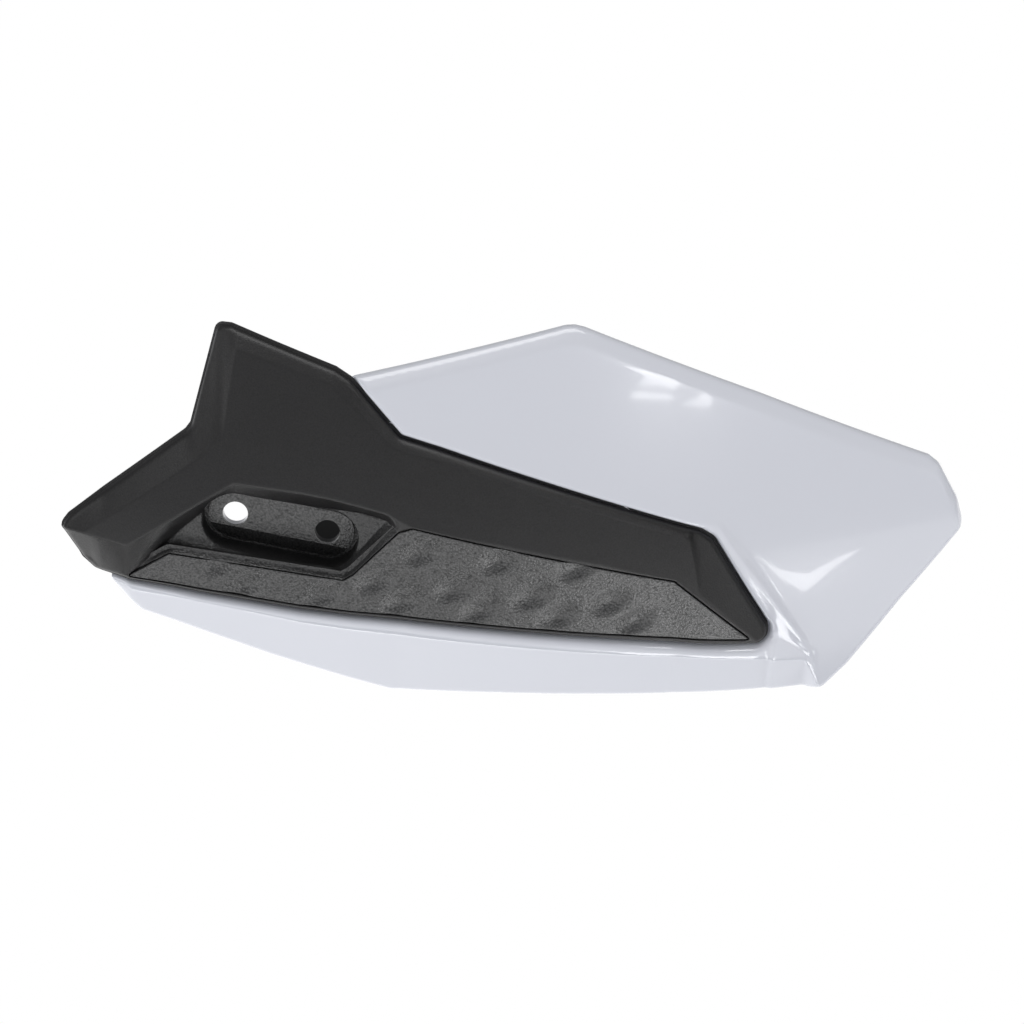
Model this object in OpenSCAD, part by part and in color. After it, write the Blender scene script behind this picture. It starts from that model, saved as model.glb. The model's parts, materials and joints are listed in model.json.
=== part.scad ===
// Left-hand guard for a motorcycle handlebar: a white wind shield with a black arrow-tailed cover
// and a coarse dimpled panel let into it, held to the machine by two bolts through a slotted boss.
// Millimetres. X runs outboard, Z up and Y backwards, towards the rider's hand.
// The origin is on the rear face of the boss, half way between the two bolt holes.

/* [Overall form] */
// Radius on which the outboard half sweeps back
sweep_radius = 450; // [380:10:600]
// Radius on which the inboard tail sweeps back
tail_radius = 600; // [450:10:900]
// Lean of the main faces away from upright, degrees
lean_angle = 17; // [12:0.5:22]
// How far the brow line stands in front of the mounting plane
brow_reach = 20; // [18:0.5:23]
// Turn-under of the lower flange, degrees
flange_angle = 31; // [22:1:38]

/* [Mouldings] */
// Wall of the white shield
shield_wall = 3; // [2.4:0.1:3.6]
// Wall of the black cover
cover_wall = 3; // [2.4:0.1:3.6]
// Thickness of the dimpled panel
panel_thickness = 2.3; // [1.8:0.1:2.8]
// Gap between mouldings that lie on each other
seat_gap = 0.3; // [0.2:0.05:0.4]
// Open groove between the shield and the cover
seam_gap = 1.3; // [0.8:0.1:1.8]
// Depth of the bevel down the tail's left edges
tail_bevel = 4; // [2:0.25:5]
// Height of the ridge around the panel's outboard end
ridge_height = 2.2; // [0.8:0.1:2.6]
// Width of the ledge that the cover rests on
ledge_width = 9; // [7:0.5:11]

/* [Pocket and boss] */
// Length of the pocket's opening
pocket_length = 55.5; // [54:0.5:58]
// Height of the pocket's opening
pocket_height = 21.2; // [20.5:0.1:22.5]
// Length of the boss inside the pocket
boss_length = 52; // [50:0.5:53]
// Height of the boss inside the pocket
boss_height = 19.5; // [19.4:0.1:20.2]
// Slope of the bevel along the boss's lower edge, degrees
boss_bevel = 24; // [16:1:25]
// Fall of the boss towards the outboard end, degrees
boss_tilt = 12; // [9:0.5:14]
// Thickness of the boss that the bolts pass through
boss_thickness = 5; // [4.6:0.1:6.5]
// How far the pocket's floor lies in front of the mounting plane
valley_reach = 12.5; // [11:0.5:14]

/* [Bolt holes] */
// Distance between the two bolt holes
hole_spacing = 33.2; // [30:0.2:34]
// Bolt hole diameter, clearance for an M8 bolt
hole_diameter = 9; // [8.4:0.1:9.4]
// Length of each steel sleeve
sleeve_length = 3.4; // [2.6:0.1:3.6]
// Wall of each steel sleeve
sleeve_wall = 1.6; // [1.2:0.1:2]
// Flange diameter of each steel sleeve
sleeve_flange = 16; // [14:0.5:16.5]

/* [Dimples] */
// Length of a dimple along its slant
dimple_length = 17; // [12:0.5:20]
// Width of a dimple
dimple_width = 9; // [6:0.5:11]
// Depth of a dimple
dimple_depth = 1.3; // [0.7:0.1:1.4]
// Distance from one dimple to the next in a row
dimple_pitch = 27.5; // [25:0.5:31]
// Distance from one row of dimples down to the next
dimple_row_gap = 10; // [9:0.25:11]

/* [Screws] */
// Outside diameter of a screw's thread
screw_diameter = 4; // [3.5:0.1:4.4]
// Diameter of a screw's head
head_diameter = 9; // [8:0.1:10]
// Diameter of the posts that the screws bite into
post_diameter = 7.4; // [6.8:0.1:7.8]

/* [Hidden] */

lean = tan(lean_angle);
flange_lean = tan(flange_angle);
hole_radius = hole_diameter / 2;
post_radius = post_diameter / 2;
thread_radius = screw_diameter / 2;
head_radius = head_diameter / 2;
plate = 2;
// Fronts run a little past the outlines that trim them, and their stations stand clear of the corners.
beyond = 0.45;
aside = 0.17;
// The boss's seat stands proud of the plate, so nothing overhangs it.
plate_back = -0.6;
// The plate's front face, on which the pocket's tube stands.
plate_front = plate_back - plate;
// Where the gusset stands, and the depth that shuts off the view through the outboard hole.
gusset_left = 6;
gusset_right = 27;
gusset_top = -boss_height / 2 - 4.3;
gusset_depth = 37.5;
// How each row of dimples is shifted along, as a share of the pitch, and down, in row gaps.
stagger = [0, 0.41, -0.26];
row_drop = [0, 1.29, 2];
hole_x = hole_spacing / 2 * cos(boss_tilt);
hole_z = -hole_spacing / 2 * sin(boss_tilt);
white = [0.86, 0.87, 0.88];
black = [0.10, 0.10, 0.11];
grainy = [0.20, 0.20, 0.21];
steel = [0.70, 0.71, 0.73];

// Outlines seen square from the front, each point [x, z].
cover_outline = [[-76, 3], [-74, 5.5], [-32.5, 34.5], [-30.5, 37], [-21.5, 69.5], [-20, 70.5], [-16.5, 70.5],
  [20, 56.5], [25.5, 53], [42.5, 34], [56.5, 29.5], [148.5, -3.5], [153, -6.5], [173.5, -41], [173, -44.5],
  [170, -46.5], [149, -45], [113, -40.5], [56.5, -33.5], [6.5, -27.5], [-28.5, -21.5], [-53.5, -16],
  [-63.5, -14.2], [-67, -11]];
panel_outline = [[-52.5, -15.3], [-39, -6.5], [22, -16], [25.5, -14], [42, 2.3], [47, 3.9], [139.5, -19.8],
  [168, -45], [149, -43.6], [113, -39.2], [56.5, -32.2], [6.5, -26.2], [-28.5, -20.2]];
shield_outline = [[-59.5, -17], [-47, -32], [-5.5, -50.5], [37.5, -66.5], [78, -67.5], [136, -69.5],
  [190, -69], [195, -67.5], [203.5, -60], [223, -38], [238, -23], [246, -15], [246.5, -12], [244.5, -4.5],
  [237.5, 8.5], [233.5, 12], [170, 41], [107.5, 67.6], [104, 68.6], [100.5, 68.6], [27, 54], [10, 50],
  [28, 24], [24, -4], [-20, -3], [-50, -8]];

// Lines that cross the part, each given by its height at a few stations.
cover_top = [[-76, 3], [-74, 5.5], [-32.5, 34.5], [-30.5, 37], [-21.5, 69.5], [-20, 70.5], [-16.5, 70.5],
  [20, 56.5], [25.5, 53], [42.5, 34], [56.5, 29.5], [148.5, -3.5], [153, -6.5], [173.5, -41]];
bevel_line = [[-76, 2], [-69, 0.7], [-25.5, 28.5], [-23.7, 31.5], [-19.5, 33.6], [-14.7, 63.7], [18.4, 52.3],
  [41, 30.5], [56.5, 26], [145, -5.7], [148.5, -25], [170, -45.6]];
brow_line = [[-76, 2.6], [-69, 0.5], [-53.5, -3], [-15.5, 19], [8, 16], [18.4, 14], [37.5, 9], [47, 4],
  [77, -2.5], [113, -11.5], [139.5, -19.5], [170, -46]];
under_line = [[-69, 0], [-53.5, -15.4], [-41.5, -5.2], [-27.5, 6.6], [-15.5, 11.4], [8, 9.5], [18.4, 8],
  [30, 6.4], [37.5, 4.9], [42, 2.8], [47, 3.8], [77, -2.7], [113, -11.7], [139.5, -19.7], [170, -46]];
ledge_line = [[-69, -1], [-53.5, -15.6], [-41.5, -5.6], [-36, -3.6], [22, -12.8], [28.5, -7], [37.5, 4.5],
  [42, 2.6], [47, 3.6], [77, -2.9], [113, -11.9], [139.5, -19.9], [170, -46.2]];
border_line = [[-76, -8], [-67, -11], [-63.5, -14.2], [-53.5, -16], [-39, -6.5], [22, -16], [25.5, -14],
  [42, 2.3], [47, 3.4], [77, -3.1], [113, -12.1], [139.5, -20.1], [170, -46.4]];
crease_line = [[-60, -17], [-32, -24.7], [6.5, -33], [42, -38], [85, -43.5], [128, -48.8], [164, -52.4],
  [188, -55.5], [192, -65], [194, -68]];
ridge_line = [[120, 0], [147, 0], [155, -1.7], [170.5, -23], [188, -49], [191, -53], [192.5, -65],
  [194, -69]];
shield_top = [[10, 50], [27, 54], [100.5, 68.6], [104, 68.6], [107.5, 67.6], [170, 41], [233.5, 12],
  [237.5, 8.5], [244.5, -4.5], [246.5, -12]];
cover_stations = [-80, -76, -74, -69, -63.5, -53.5, -41.5, -39, -36, -32.5, -30.5, -27.5, -25.5, -23.7, -21.5,
  -19.5, -16.5, -14.7, -6, 8, 18.4, 22, 25.5, 28.5, 37.5, 42, 47, 56.5, 77, 95, 113, 128, 139.5, 145, 148.5,
  153, 162, 170, 176];
shield_stations = [-64, -47, -32, -5.5, 10, 27, 42, 60, 78, 90, 100.5, 104, 107.5, 120, 132, 145, 155, 164,
  170.5, 179, 188, 191, 192.5, 194, 205, 214, 223, 233.5, 237.5, 244.5, 250];

// Ribs behind the shield and behind the cover, each a run of points [x, z].
shield_ribs = [[[112, 22], [170, 8], [226, -8]], [[150, 44], [172, 8], [186, -40]], [[60, 48], [104, 58]]];
cover_ribs = [[[-30, 30], [-14, 24]], [[-2, 40], [34, 28]], [[70, 8], [74, 22]], [[100, 0], [104, 10]]];

// Where the screws stand, each point [x, z].
shield_screws = [[38, 32], [78, 16], [118, 1.5], [158, -30], [100, -35], [44, -27]];
carrier_screws = [[-46, 2], [-8, 46], [56, 16], [36, -23], [-31, -14]];

function beside(stations) = [for (x = stations) x + aside];
function sweep(x) = x > 20 ? pow(x - 20, 2) / (2 * sweep_radius) : pow(x - 20, 2) / (2 * tail_radius);
// The main face leans back from the brow, a little crowned above it and curling under below.
function main_y(x, z) = -brow_reach + lean * (z - 13.5) + sweep(x)
  + (z < 13.5 ? 0.0025 : 0.0004) * pow(z - 13.5, 2);
function brow_y(x) = main_y(x, lookup(x, brow_line));
// The panel's upper border runs forward of the pocket, and joins the brow outboard of it.
function border_y(x) = x > 47 ? brow_y(x) : lookup(x, [[-76, -9], [-67, -11], [-63.5, -13], [-53.5, -18.2],
  [-39, -18.6], [22, -20.4], [42, -21.5], [47, brow_y(47)]]);
function valley_depth(x) = lookup(x, [[-53.5, 0], [-36, 1], [28.5, 1], [37.5, 0.6], [42, 0.05], [47, 0]]);
function valley_y(x) = border_y(x) + valley_depth(x) * (-valley_reach - border_y(x));
function panel_y(x, z) = border_y(x) + 0.1 * (lookup(x, border_line) - z);
// How fast the panel falls back along x, so that a dimple can lie square to it.
function panel_slope(x, z) = (panel_y(x + 4, z) - panel_y(x - 4, z)) / 8;
function edge_drop(x) = lookup(x, [[-76, 1], [-62, tail_bevel], [-24, tail_bevel], [-17, 1.6], [0, 1.2],
  [176, 1.2]]);
// The panel's lower edge, and the front's depth along it.
function low_z(x) = lookup(x, [[-64, -16], [6.5, -27.5], [56.5, -33.5], [113, -40.5], [170, -46.5]]);
function low_y(x) = panel_y(x, low_z(x));
function crease_y(x) = x < 175 ? low_y(x) + 1.5 : main_y(x, lookup(x, crease_line));

// Pushes each height at least a little below the one before it, so no two rows cross.
function settle(rows, i = 0, top = 200) = i == len(rows) ? [] :
  let (z = min(rows[i][0], top - 0.2)) concat([[z, rows[i][1]]], settle(rows, i + 1, z));

// The cover's front, from its top edge down, as [height, depth] at one station.
function cover_rows(x) = let (
  edge = lookup(x, cover_top) + beyond,
  bevel = lookup(x, bevel_line),
  brow = lookup(x, brow_line),
  upper = bevel + (brow - bevel) * 0.33,
  lower = bevel + (brow - bevel) * 0.67,
  under = lookup(x, under_line),
  ledge = lookup(x, ledge_line),
  border = lookup(x, border_line) - beyond)
  settle([[110, main_y(x, 110) + edge_drop(x)], [edge, main_y(x, edge) + edge_drop(x)],
    [bevel, main_y(x, bevel)], [upper, main_y(x, upper)], [lower, main_y(x, lower)], [brow, brow_y(x)],
    [under, valley_y(x)], [ledge, valley_y(x)], [border, border_y(x)], [-110, panel_y(x, -110)]]);

// The panel's front continues its own plane above its border.
function panel_rows(x) = [[60, panel_y(x, 60)], [-110, panel_y(x, -110)]];

// The shield's front, from its rolled top edge down.
function shield_rows(x) = let (
  edge = lookup(x, shield_top) + beyond,
  roll = edge - 5.5,
  ridge = lookup(x, ridge_line),
  rise = ridge_height * lookup(x, [[149, 0], [160, 1], [186, 1], [190, 0.5], [193, 0]]),
  crease = lookup(x, crease_line),
  foot = ridge + 2.5)
  settle(concat(
    [[120, main_y(x, 120) + 2.5], [edge, main_y(x, edge) + 2.2]],
    [for (z = [roll, roll * 0.7 + foot * 0.3, roll * 0.4 + foot * 0.6, roll * 0.15 + foot * 0.85, foot])
      [z, main_y(x, z)]],
    [[ridge, main_y(x, ridge) - rise], [(ridge + crease) / 2, (crease_y(x) + main_y(x, ridge)) / 2],
      [crease, crease_y(x)], [-110, crease_y(x) + flange_lean * (crease + 110)]]));

// Depth of a front, read off its rows at one height.
function rows_y(rows, z) = lookup(z, [for (i = [len(rows) - 1:-1:0]) rows[i]]);
function cover_y(p) = rows_y(cover_rows(p[0]), p[1]);
// Back of the cover or of its panel recess, whichever a screw meets.
function cover_back(p) = cover_y(p) + cover_wall;
ledge_front = cover_wall + seat_gap;
ledge_back = ledge_front + shield_wall - 0.4;
// A screw's pad ends on a flat, a little behind the deepest point of the ledge around it.
function pad_back(p) = cover_y(p) + ledge_back + 3.5;
function in_panel(x, z) = x > -36 && x < 142 && z < lookup(x, border_line) - 0.5
  && z > low_z(x) + 1.5;

// A solid sheet between two depths behind a front, over the whole field of stations.
module sheet(stations, rows, near, far) {
  m = len(stations);
  n = len(rows[0]);
  front = [for (i = [0:m - 1]) for (j = [0:n - 1]) [stations[i], rows[i][j][1] + near, rows[i][j][0]]];
  back = [for (i = [0:m - 1]) for (j = [0:n - 1]) [stations[i], rows[i][j][1] + far, rows[i][j][0]]];
  b = m * n;
  faces = concat(
    [for (i = [0:m - 2]) for (j = [0:n - 2]) each [
      [i * n + j, (i + 1) * n + j, (i + 1) * n + j + 1], [i * n + j, (i + 1) * n + j + 1, i * n + j + 1],
      [b + i * n + j, b + (i + 1) * n + j + 1, b + (i + 1) * n + j],
      [b + i * n + j, b + i * n + j + 1, b + (i + 1) * n + j + 1]]],
    [for (i = [0:m - 2]) each [
      [i * n, b + i * n, b + (i + 1) * n], [i * n, b + (i + 1) * n, (i + 1) * n],
      [i * n + n - 1, (i + 1) * n + n - 1, b + (i + 1) * n + n - 1],
      [i * n + n - 1, b + (i + 1) * n + n - 1, b + i * n + n - 1]]],
    [for (j = [0:n - 2]) each [
      [j, j + 1, b + j + 1], [j, b + j + 1, b + j],
      [(m - 1) * n + j + 1, (m - 1) * n + j, b + (m - 1) * n + j],
      [(m - 1) * n + j + 1, b + (m - 1) * n + j, b + (m - 1) * n + j + 1]]]);
  polyhedron(points = concat(front, back), faces = faces, convexity = 6);
}

module cover_sheet(near, far) {
  sheet(beside(cover_stations), [for (x = beside(cover_stations)) cover_rows(x)], near, far);
}

module panel_sheet(near, far) {
  sheet(beside(cover_stations), [for (x = beside(cover_stations)) panel_rows(x)], near, far);
}

module shield_sheet(near, far) {
  sheet(beside(shield_stations), [for (x = beside(shield_stations)) shield_rows(x)], near, far);
}

// Carries a flat outline through the whole depth of the part.
module through() {
  rotate([90, 0, 0])
    linear_extrude(height = 240, center = true)
      children();
}

// A round bar along Y from one depth to another.
module bar(x, z, radius, from, to, sides = 32) {
  translate([x, from, z])
    rotate([-90, 0, 0])
      cylinder(r = radius, h = to - from, $fn = sides);
}

// A moulded post with draft: a little thicker at its root than at its end.
module post(p, radius, from, to) {
  translate([p[0], from, p[1]])
    rotate([-90, 0, 0])
      cylinder(r1 = radius + 0.02 * (to - from), r2 = radius, h = to - from, $fn = 28);
}

// The slotted shape of the boss and of its pocket, from one depth to another.
module slot_block(length, height, from, to) {
  r = height / 2;
  reach = (length - height) / 2;
  rotate([0, boss_tilt, 0]) {
    bar(-reach, 0, r, from, to, 48);
    bar(reach, 0, r, from, to, 48);
    translate([-reach, from, -r])
      cube([2 * reach, to - from, height]);
  }
}

module cover_shape() {
  polygon(cover_outline);
}

// A ring that follows a flat shape, from one offset to another.
module band(outer, inner) {
  difference() {
    offset(delta = outer)
      children();
    offset(delta = inner)
      children();
  }
}

// A thin strip from one point to the next, for a stiffening rib.
module strip(points, width) {
  for (i = [0:len(points) - 2]) {
    run = points[i + 1] - points[i];
    translate(points[i])
      rotate(atan2(run[1], run[0]))
        translate([-width / 3, -width / 2])
          square([norm(run) + width * 2 / 3, width]);
  }
}

// White moulding: a thin shell with a rolled top edge, a ledge that the cover lies on,
// stiffening ribs and six pads that the screws pull against.
module wind_shield() {
  color(white)
    difference() {
      union() {
        intersection() {
          shield_sheet(0, shield_wall);
          through()
            difference() {
              polygon(shield_outline);
              offset(delta = seam_gap)
                cover_shape();
            }
        }
        intersection() {
          cover_sheet(1, ledge_back);
          through()
            intersection() {
              offset(delta = -beyond)
                polygon(shield_outline);
              band(seam_gap + 4, seam_gap - 0.2)
                cover_shape();
            }
        }
        intersection() {
          cover_sheet(ledge_front, ledge_back);
          through()
            intersection() {
              offset(delta = -beyond * 1.5)
                polygon(shield_outline);
              band(seam_gap + 2, -ledge_width)
                cover_shape();
            }
        }
        intersection() {
          shield_sheet(shield_wall - 0.6, shield_wall + 4);
          through()
            for (rib = shield_ribs)
              strip(rib, 1.8);
        }
        intersection() {
          cover_sheet(ledge_front, 70);
          for (p = shield_screws)
            post(p, post_radius + 3, cover_y(p), pad_back(p));
        }
      }
      for (p = shield_screws)
        bar(p[0], p[1], post_radius + seat_gap, -50, 80, 28);
    }
}

// Black moulding: an arrow-tailed shell with a recess for the panel, a thin flange that closes
// the groove from behind, the pocket's tube and hollow posts for the screws.
module front_cover() {
  color(black)
    difference() {
      union() {
        intersection() {
          cover_sheet(0, cover_wall);
          through()
            difference() {
              cover_shape();
              polygon(panel_outline);
            }
        }
        intersection() {
          panel_sheet(panel_thickness + seat_gap, panel_thickness + seat_gap + 2);
          through()
            intersection() {
              offset(delta = 3)
                polygon(panel_outline);
              offset(delta = -0.6)
                cover_shape();
            }
        }
        intersection() {
          cover_sheet(0.4, 60);
          union() {
            slot_block(pocket_length + 4, pocket_height + 4, -40, plate_front);
            for (p = carrier_screws)
              post(p, post_radius, cover_y(p), plate_front);
            for (p = shield_screws)
              post(p, post_radius - 0.4, cover_y(p), pad_back(p) - 0.4);
          }
        }
        intersection() {
          cover_sheet(cover_wall - 0.7, cover_wall);
          through()
            band(seam_gap - 0.5, -1.6)
              cover_shape();
        }
        intersection() {
          cover_sheet(cover_wall - 0.6, cover_wall + 3.5);
          through()
            for (rib = cover_ribs)
              strip(rib, 1.6);
        }
      }
      slot_block(pocket_length, pocket_height, -60, 20);
      intersection() {
        panel_sheet(-14, panel_thickness + seat_gap);
        through()
          polygon(panel_outline);
      }
      for (p = carrier_screws)
        bar(p[0], p[1], thread_radius, cover_back(p) - 1.5, 10, 24);
      for (p = shield_screws)
        bar(p[0], p[1], thread_radius, cover_back(p) - 1.5, 80, 24);
    }
}

// Dimpled insert of coarse-grained black, lying in the cover's recess.
module textured_panel() {
  color(grainy)
    difference() {
      intersection() {
        panel_sheet(0, panel_thickness);
        through()
          offset(delta = -seat_gap)
            polygon(panel_outline);
      }
      for (row = [0:2], i = [-4:4]) {
        x = 50 + (i + stagger[row]) * dimple_pitch;
        z = -5.5 - row_drop[row] * dimple_row_gap - 0.12 * (x - 50);
        if (in_panel(x, z))
          translate([x, panel_y(x, z), z])
            rotate([atan(0.1), 0, atan(panel_slope(x, z))])
              dimple();
      }
    }
}

// One shallow slanting dimple: the tip of an egg that stands mostly in front of the panel.
module dimple() {
  whole = 2.2;
  spread = 1 / sqrt(1 - pow(1 - 1 / whole, 2));
  rotate([0, -28, 0])
    translate([0, -dimple_depth * (whole - 1), 0])
      scale([dimple_length / 2 * spread, dimple_depth * whole, dimple_width / 2 * spread])
        sphere(r = 1, $fn = 20);
}

// Structural plate behind the cover: the boss in the pocket, arms to the posts and a deep
// gusset below the outboard bolt.
module mount_carrier() {
  color(grainy)
    difference() {
      union() {
        difference() {
          slot_block(boss_length, boss_height, -boss_thickness, 0);
          boss_bevel_cut();
        }
        translate([0, plate_back, 0])
          rotate([90, 0, 0])
            linear_extrude(height = plate)
              plate_shape();
        gusset();
      }
      bar(-hole_x, -hole_z, hole_radius, -20, 20, 64);
      bar(hole_x, hole_z, hole_radius, -20, 20, 64);
      sleeve_seat(-hole_x, -hole_z);
      sleeve_seat(hole_x, hole_z);
      for (p = carrier_screws)
        bar(p[0], p[1], thread_radius + 0.3, -10, 10);
    }
}

// What the bevel takes off the boss's front, from just below the bolt holes to its lower edge.
module boss_bevel_cut() {
  start = hole_radius + 0.25;
  end = boss_height / 2 + 1;
  front = -boss_thickness;
  rotate([0, boss_tilt, 0])
    translate([-boss_length, 0, 0])
      rotate([90, 0, 90])
        linear_extrude(height = 2 * boss_length)
          polygon([[front - 5, -start], [front, -start], [front + tan(boss_bevel) * (end - start), -end],
            [front - 5, -end]]);
}

// Flat outline of the carrier's plate: a slotted middle, a root for the gusset, and an arm
// and a round ear for each post.
module plate_shape() {
  r = pocket_height / 2 + 5;
  reach = (pocket_length - pocket_height) / 2;
  rotate(-boss_tilt) {
    for (side = [-1, 1])
      translate([side * reach, 0])
        circle(r = r, $fn = 72);
    square([2 * reach, 2 * r], center = true);
  }
  translate([gusset_left - 1.5, gusset_top - 7])
    square([gusset_right - gusset_left + 3, 10]);
  for (p = carrier_screws) {
    rotate(atan2(p[1], p[0]))
      translate([4, -4])
        square([norm(p) - 4, 8]);
    translate(p)
      circle(r = post_radius + 2, $fn = 48);
  }
}

// Shelf and two webs behind the plate, below the outboard bolt.
module gusset() {
  root = plate_back - 0.5;
  translate([gusset_left, root, gusset_top - 2])
    cube([gusset_right - gusset_left, gusset_depth - root, 2]);
  for (x = [gusset_left, gusset_right - 2])
    translate([x, 0, 0])
      rotate([90, 0, 90])
        linear_extrude(height = 2)
          polygon([[root, gusset_top - 1], [gusset_depth - 1, gusset_top - 1],
            [gusset_depth - 1, gusset_top - 2.5], [root, gusset_top - 6]]);
}

// Room for one steel sleeve and its flange, let in from behind.
module sleeve_seat(x, z) {
  bar(x, z, hole_radius + sleeve_wall, -sleeve_length, 1, 64);
  bar(x, z, sleeve_flange / 2, -1, 1, 64);
}

// Flanged steel sleeve that carries the bolt's pull through the moulding.
module sleeve(x, z) {
  color(steel)
    difference() {
      union() {
        bar(x, z, hole_radius + sleeve_wall, -sleeve_length, 0, 64);
        bar(x, z, sleeve_flange / 2, -1, 0, 64);
      }
      bar(x, z, hole_radius, -sleeve_length - 1, 1, 64);
    }
}

module mount_sleeve_inboard() {
  sleeve(-hole_x, -hole_z);
}

module mount_sleeve_outboard() {
  sleeve(hole_x, hole_z);
}

// Thread-forming screw with a washer head, driven forwards from behind.
module screw(p, seat, length) {
  color(steel)
    difference() {
      union() {
        bar(p[0], p[1], thread_radius, seat - length, seat + 0.5, 24);
        bar(p[0], p[1], head_radius, seat, seat + 1, 32);
        bar(p[0], p[1], head_radius * 0.72, seat + 0.5, seat + 2.8, 32);
      }
      translate([p[0], seat + 1.2, p[1]])
        rotate([-90, 0, 0])
          cylinder(r = thread_radius * 0.9, h = 3, $fn = 6);
    }
}

module shield_screw(i) {
  p = shield_screws[i - 1];
  screw(p, pad_back(p), pad_back(p) - cover_back(p) + 0.5);
}

module carrier_screw(i) {
  p = carrier_screws[i - 1];
  screw(p, plate_back, plate_back - cover_back(p) + 0.5);
}

wind_shield();
front_cover();
textured_panel();
mount_carrier();
mount_sleeve_inboard();
mount_sleeve_outboard();
shield_screw(1);  // shield_screw_1
shield_screw(2);  // shield_screw_2
shield_screw(3);  // shield_screw_3
shield_screw(4);  // shield_screw_4
shield_screw(5);  // shield_screw_5
shield_screw(6);  // shield_screw_6
carrier_screw(1);  // carrier_screw_1
carrier_screw(2);  // carrier_screw_2
carrier_screw(3);  // carrier_screw_3
carrier_screw(4);  // carrier_screw_4
carrier_screw(5);  // carrier_screw_5
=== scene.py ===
import json
import math
import bpy
import numpy as np
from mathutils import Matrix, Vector
from mathutils.geometry import delaunay_2d_cdt
from mathutils.kdtree import KDTree

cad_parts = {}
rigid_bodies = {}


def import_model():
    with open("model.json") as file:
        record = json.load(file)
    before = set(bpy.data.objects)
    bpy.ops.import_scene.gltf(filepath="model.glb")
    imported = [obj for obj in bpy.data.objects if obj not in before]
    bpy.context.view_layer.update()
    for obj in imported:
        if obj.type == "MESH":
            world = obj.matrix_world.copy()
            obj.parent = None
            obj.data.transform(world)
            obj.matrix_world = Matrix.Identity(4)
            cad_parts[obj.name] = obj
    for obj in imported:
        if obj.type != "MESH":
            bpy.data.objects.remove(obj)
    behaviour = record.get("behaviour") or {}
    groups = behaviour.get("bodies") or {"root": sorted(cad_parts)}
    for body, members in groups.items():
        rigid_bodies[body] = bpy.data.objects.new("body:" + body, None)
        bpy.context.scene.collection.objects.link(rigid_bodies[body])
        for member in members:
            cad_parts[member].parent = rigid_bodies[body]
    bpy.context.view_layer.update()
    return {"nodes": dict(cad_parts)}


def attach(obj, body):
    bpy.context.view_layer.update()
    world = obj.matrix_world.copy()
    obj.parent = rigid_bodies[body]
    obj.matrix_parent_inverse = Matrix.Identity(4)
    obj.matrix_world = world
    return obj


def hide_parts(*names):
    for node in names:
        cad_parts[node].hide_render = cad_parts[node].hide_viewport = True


for thing in list(bpy.data.objects):
    bpy.data.objects.remove(thing)
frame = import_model()

# Everything below is worked out in millimetres and turned into metres when a mesh is made.
MM = 0.001

# ---------------------------------------------------------------- outlines and lines
COVER = [(-76.5, 2.5), (-74, 5.5), (-32.5, 34.5), (-30.5, 37), (-21.5, 69.5), (-20, 70.5), (-16.5, 70.5),
         (20, 56.5), (25.5, 53), (42.5, 34), (56.5, 29.5), (148.5, -3.5), (153, -6.5), (173.5, -41),
         (173, -44.5), (170, -46.5), (149, -45), (113, -40.5), (56.5, -33.5), (6.5, -27.5), (-28.5, -21.5),
         (-55.5, -16), (-66, -14.6), (-70, -11)]
PANEL = [(-54.5, -15.3), (-39, -6.5), (22, -16), (25.5, -14), (42, 2.3), (47, 3.9), (139.5, -19.8),
         (168, -45), (149, -43.6), (113, -39.2), (56.5, -32.2), (6.5, -26.2), (-28.5, -20.2)]
SHIELD = [(-61.5, -17), (-50, -31.8), (-5.5, -50.5), (37.5, -66.5), (78, -67.5), (136, -69.5), (190, -69),
          (195, -67.5), (203.5, -60), (223, -38), (238, -23), (246, -15), (246.5, -12), (244.5, -4.5),
          (237.5, 8.5), (233.5, 12), (170, 41), (107.5, 67.6), (104, 68.6), (100.5, 68.6), (27, 54),
          (10, 50), (28, 24), (24, -4), (-20, -3), (-50, -8)]
COVER_TOP = COVER[:14]
BEVEL = [(-76, 2), (-69, 0.7), (-25.5, 28.5), (-23.7, 31.5), (-19.5, 33.6), (-14.7, 63.7), (18.4, 52.3),
         (41, 30.5), (56.5, 26), (145, -5.7), (148.5, -25), (170, -45.6)]
BROW = [(-76, 2.6), (-69, 0.5), (-53.5, -3), (-15.5, 19), (8, 16), (18.4, 14), (37.5, 9), (47, 4), (77, -2.5),
        (113, -11.5), (139.5, -19.5), (170, -46)]
UNDER = [(-69, 0), (-53.5, -15.4), (-41.5, -5.2), (-27.5, 6.6), (-15.5, 11.4), (8, 9.5), (18.4, 8), (30, 6.4),
         (37.5, 4.9), (42, 2.8), (47, 3.8), (77, -2.7), (113, -11.7), (139.5, -19.7), (170, -46)]
LEDGE = [(-69, -1), (-53.5, -15.6), (-41.5, -5.6), (-36, -3.6), (22, -12.8), (28.5, -7), (37.5, 4.5), (42, 2.6),
         (47, 3.6), (77, -2.9), (113, -11.9), (139.5, -19.9), (170, -46.2)]
BORDER = [(-76, -8), (-67, -11), (-63.5, -14.2), (-53.5, -16), (-39, -6.5), (22, -16), (25.5, -14), (42, 2.3),
          (47, 3.4), (77, -3.1), (113, -12.1), (139.5, -20.1), (170, -46.4)]
CREASE = [(-60, -17), (-32, -24.7), (6.5, -33), (42, -38), (85, -43.5), (128, -48.8), (164, -52.4),
          (188, -55.5), (192, -65), (194, -68)]
RIDGE = [(120, 0), (147, 0), (155, -1.7), (170.5, -23), (188, -49), (191, -53), (192.5, -65), (194, -69)]
SHIELD_TOP = [(10, 50), (27, 54), (100.5, 68.6), (104, 68.6), (107.5, 67.6), (170, 41), (233.5, 12),
              (237.5, 8.5), (244.5, -4.5), (246.5, -12)]
SHIELD_SCREWS = [(38, 32), (78, 16), (118, 1.5), (158, -30), (100, -35), (44, -27)]
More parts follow.
